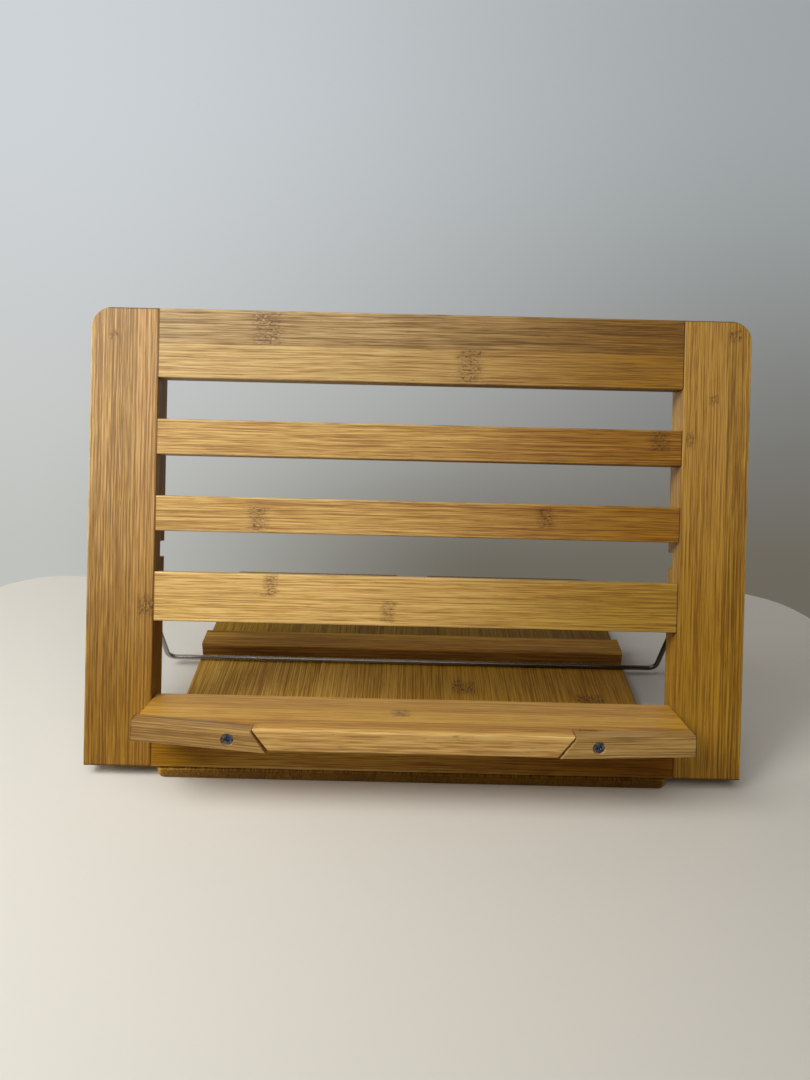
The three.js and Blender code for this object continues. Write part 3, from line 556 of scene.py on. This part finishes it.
def screws(name, seats, turn, place, material, head, cone, shank, length, cross, width, depth):
    """Countersunk cross-head screws on their seats, each turned by chance about its own axis.

    A screw is made with its head's face at the seat and its shank along +Z. turn lays it into the wood."""
    maker = Maker(f"{name}_tree", Head=head, Cone=cone, Shank=shank, Length=length, Cross=cross, Slot=width,
                  Deep=depth, Turn=turn, Seed=3)
    sunk = maker.node("GeometryNodeMeshCone", {"fill_type": "NGON"}, Vertices=32,
                      Radius_Top=maker.size("Shank"), Radius_Bottom=maker.size("Head"),
                      Depth=maker.size("Cone"))
    stem_length = maker.maths("SUBTRACT", maker.size("Length"), maker.size("Cone"))
    stem = maker.node("GeometryNodeMeshCone", {"fill_type": "NGON"}, Vertices=24,
                      Radius_Top=maker.maths("MULTIPLY", maker.size("Shank"), 0.35),
                      Radius_Bottom=maker.size("Shank"), Depth=stem_length)
    stem = maker.node("GeometryNodeTransform", Geometry=stem,
                      Translation=maker.node("ShaderNodeCombineXYZ", Z=maker.size("Cone")))
    arms = []
    for across, along in (("Cross", "Slot"), ("Slot", "Cross")):
        arms.append(maker.node("GeometryNodeMeshCube", Size=maker.node(
            "ShaderNodeCombineXYZ", X=maker.size(across), Y=maker.size(along),
            Z=maker.maths("MULTIPLY", maker.size("Deep"), 2.0))))
    well = maker.node("GeometryNodeMeshCone", {"fill_type": "NGON"}, Vertices=16, Radius_Top=0.05,
                      Radius_Bottom=maker.maths("MULTIPLY", maker.size("Cross"), 0.34),
                      Depth=maker.maths("MULTIPLY", maker.size("Deep"), 1.25))
    cut = maker.node("GeometryNodeMeshBoolean", {"operation": "DIFFERENCE", "solver": "EXACT"}, Mesh_1=sunk,
                     Mesh_2=[*arms, well])
    whole = maker.node("GeometryNodeJoinGeometry", Geometry=[cut, stem])
    spin = maker.node("FunctionNodeRandomValue", {"data_type": "FLOAT"}, out=1, _2=0.0, _3=math.pi / 2,
                      Seed=maker.size("Seed"))
    standing = maker.node("GeometryNodeInstanceOnPoints", Points=maker.entry.outputs[0], Instance=whole,
                          Rotation=maker.size("Turn"))
    standing = maker.node("GeometryNodeRotateInstances", Instances=standing,
                          Rotation=maker.node("ShaderNodeCombineXYZ", Z=spin), Local_Space=True)
    return maker.make(name, dots(f"{name}_seats", seats), standing, material, place)


HINGE_SPOT, HINGE_SPREAD = 90.0, 9.0  # the hinges from the middle, and their screws from a hinge's middle
RAIL_SEAT = (11.0, 14.429)  # behind the frame's front and up the frame
BASE_SEAT = (22.1925, 6.0)  # behind the board's front and above the table


def fit_screws():
    """The page holders' screws, and the small ones that hold the hinge leaves, one piece for each body."""
    steel = screw_steel()
    holder_seats = [(side * HOLDER_SPOT, LEDGE_FRONT, HOLDER_DROP) for side in (-1, 1)]
    hinge_spots = [side * HINGE_SPOT + spread * HINGE_SPREAD for side in (-1, 1) for spread in (-1, 1)]
    back, forward, down = ((turn, 0.0, 0.0) for turn in (-math.pi / 2, math.pi / 2, math.pi))
    small = dict(head=1.7, cone=0.9, shank=0.85, cross=1.8, width=0.45, depth=0.5)
    holder = screws("holder_screws", holder_seats, back, LEDGE_AXES, steel, head=2.65, cone=1.2, shank=1.7,
                    length=25.4, cross=3.2, width=0.75, depth=0.9)
    rail = screws("rail_hinge_screws", [(x, *RAIL_SEAT) for x in hinge_spots], forward, FRAME_AXES, steel,
                  length=6.5, **small)
    base = screws("base_hinge_screws", [(x, *BASE_SEAT) for x in hinge_spots], down, BASE_AXES, steel,
                  length=3.8, **small)
    for piece, body, stem in ((holder, "ledge", "page_holder_screw"), (rail, "frame", "hinge_screw_rail"),
                              (base, "base", "hinge_screw_base")):
        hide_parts(*[node for node in NODES if node.startswith(stem)])
        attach(piece, body)


# ---- dressing -------------------------------------------------------------
dress_stiles()
dress_rails()
dress_base()
dress_ledge()

wire = prop_wire(drawn_steel())
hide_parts("prop_wire")
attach(wire, "prop")

fit_screws()
leaf_finish = leaf_steel()
for node in NODES:
    if "leaf" in node or "pin" in node:
        wear(node, leaf_finish)


# ---- stage, light and camera ----------------------------------------------
def table_top():
    """A pale table with round far corners under the stand, measured from the board's front edge."""
    left, right, far, near, corner, thickness = -316.0, 287.0, 222.0, -900.0, 57.0, 30.0
    step = 6  # degrees between two points of a round corner
    outline = [(left, near), (right, near)]
    for centre, first in ((right - corner, 0), (left + corner, 90)):
        for angle in (math.radians(first + turn) for turn in range(0, 91, step)):
            outline.append((centre + corner * math.cos(angle), far - corner + corner * math.sin(angle)))
    outline = [(x, y + front_edge) for x, y in outline]
    count = len(outline)
    points = [(x * MM, y * MM, z * MM) for z in (0.0, -thickness) for x, y in outline]
    faces = [list(range(count)), list(range(2 * count - 1, count - 1, -1))]
    faces += [(i, i + count, (i + 1) % count + count, (i + 1) % count) for i in range(count)]
    mesh = bpy.data.meshes.new("table_top")
    mesh.from_pydata(points, [], faces)
    top = bpy.data.objects.new("table_top", mesh)
    bpy.context.scene.collection.objects.link(top)
    pale = Finish("table_pale")
    mesh.materials.append(pale.surface(Base_Color=paint(214, 209, 199), Roughness=0.6))


def wall():
    """A wall whose glow is painted light: paler at the upper left, darker low and to the right. Its glow
    shows to the camera and in reflections only.
    """
    half, distance, bottom, top = 4.0, 1.6, -2.0, 4.0  # metres
    mesh = bpy.data.meshes.new("wall")
    mesh.from_pydata([(-half, distance, bottom), (half, distance, bottom), (half, distance, top),
                      (-half, distance, top)], [], [(0, 1, 2, 3)])
    plane = bpy.data.objects.new("wall", mesh)
    bpy.context.scene.collection.objects.link(plane)
    backdrop = Finish("wall_painted_light")
    # painted light and shade: the glow paler at the upper left, darker low and to the right
    upper = backdrop.blend(backdrop.rise(backdrop.x, -900.0, 1000.0), paint(206, 211, 215), paint(158, 164, 165))
    middle = backdrop.blend(backdrop.rise(backdrop.x, -1050.0, 1050.0), paint(200, 202, 200), paint(122, 122, 118))
    lower = backdrop.blend(backdrop.rise(backdrop.x, -1050.0, 250.0), paint(192, 194, 189), paint(108, 104, 93))
    colour = backdrop.blend(backdrop.rise(backdrop.z, -760.0, -240.0), lower, middle)
    colour = backdrop.blend(backdrop.rise(backdrop.z, -420.0, 420.0), colour, upper)
    glow = backdrop.tree.nodes.new("ShaderNodeEmission")
    feed(backdrop.tree, glow.inputs["Color"], colour)
    glow.inputs["Strength"].default_value = 1.0
    backdrop.surface(Base_Color=paint(190, 192, 190), Roughness=0.8)
    path = backdrop.tree.nodes.new("ShaderNodeLightPath")
    camera_ray, glossy_ray, through_ray = (Value(backdrop.tree, path.outputs[f"Is {kind} Ray"])
                                           for kind in ("Camera", "Glossy", "Transmission"))
    seen = camera_ray.most(glossy_ray).most(through_ray)
    mix = backdrop.tree.nodes.new("ShaderNodeMixShader")
    feed(backdrop.tree, mix.inputs[0], seen)
    backdrop.tree.links.new(backdrop.shader.outputs[0], mix.inputs[1])
    backdrop.tree.links.new(glow.outputs[0], mix.inputs[2])
    output = next(node for node in backdrop.tree.nodes if node.type == "OUTPUT_MATERIAL")
    backdrop.tree.links.new(mix.outputs[0], output.inputs[0])
    mesh.materials.append(backdrop.material)


def soft_lamp(name, place, target, width, height, watts, colour):
    """An area lamp, in metres, aimed at a point."""
    lamp = bpy.data.lights.new(name, "AREA")
    lamp.shape = "RECTANGLE"
    lamp.size = width
    lamp.size_y = height
    lamp.energy = watts
    lamp.color = colour
    stand = bpy.data.objects.new(name, lamp)
    aim = (Vector(target) - Vector(place)).to_track_quat("-Z", "Y")
    stand.matrix_world = Matrix.Translation(place) @ aim.to_matrix().to_4x4()
    bpy.context.scene.collection.objects.link(stand)


def daylight():
    world = bpy.data.worlds.new("room")
    bpy.context.scene.world = world
    world.use_nodes = True
    sky = world.node_tree.nodes["Background"]
    sky.inputs["Color"].default_value = (0.95, 0.97, 1.0, 1.0)
    sky.inputs["Strength"].default_value = 0.08
    soft_lamp("window", place=(-0.46, -0.33, 0.58), target=(-0.1, 0.0, 0.14), width=0.34, height=0.34,
              watts=3.9, colour=(0.96, 0.99, 1.0))
    soft_lamp("side_glow", place=(-1.1, 0.06, 0.34), target=(0.1, 0.0, 0.08), width=0.7, height=0.5,
              watts=3.6, colour=(1.0, 0.98, 0.94))
    soft_lamp("ceiling", place=(-0.2, -0.9, 1.9), target=(0.0, 0.0, 0.0), width=2.0, height=1.6,
              watts=19.0, colour=(1.0, 0.97, 0.92))


PHOTO_WIDTH, FOCAL_LENGTH = 810.0, 860.0  # in the photo's pixels
EYE_SIDE, EYE_BACK, EYE_HEIGHT = -6.16, 352.83, 303.17  # from the middle of the board's front edge
LOOK_DOWN, ROLL = 24.89, 1.35


def photo_camera():
    camera = bpy.data.cameras.new("camera")
    camera.sensor_fit = "HORIZONTAL"
    camera.sensor_width = 36.0
    camera.lens = FOCAL_LENGTH / PHOTO_WIDTH * camera.sensor_width
    camera.clip_start = 0.01
    holder = bpy.data.objects.new("camera", camera)
    eye = Vector((EYE_SIDE, front_edge - EYE_BACK, EYE_HEIGHT)) * MM
    aim = tip(math.radians(90 - LOOK_DOWN)) @ tip(math.radians(ROLL), "Z")
    holder.matrix_world = Matrix.Translation(eye) @ aim
    bpy.context.scene.collection.objects.link(holder)
    bpy.context.scene.camera = holder


table_top()
wall()
daylight()
photo_camera()

scene = bpy.context.scene
scene.view_settings.view_transform = "Standard"
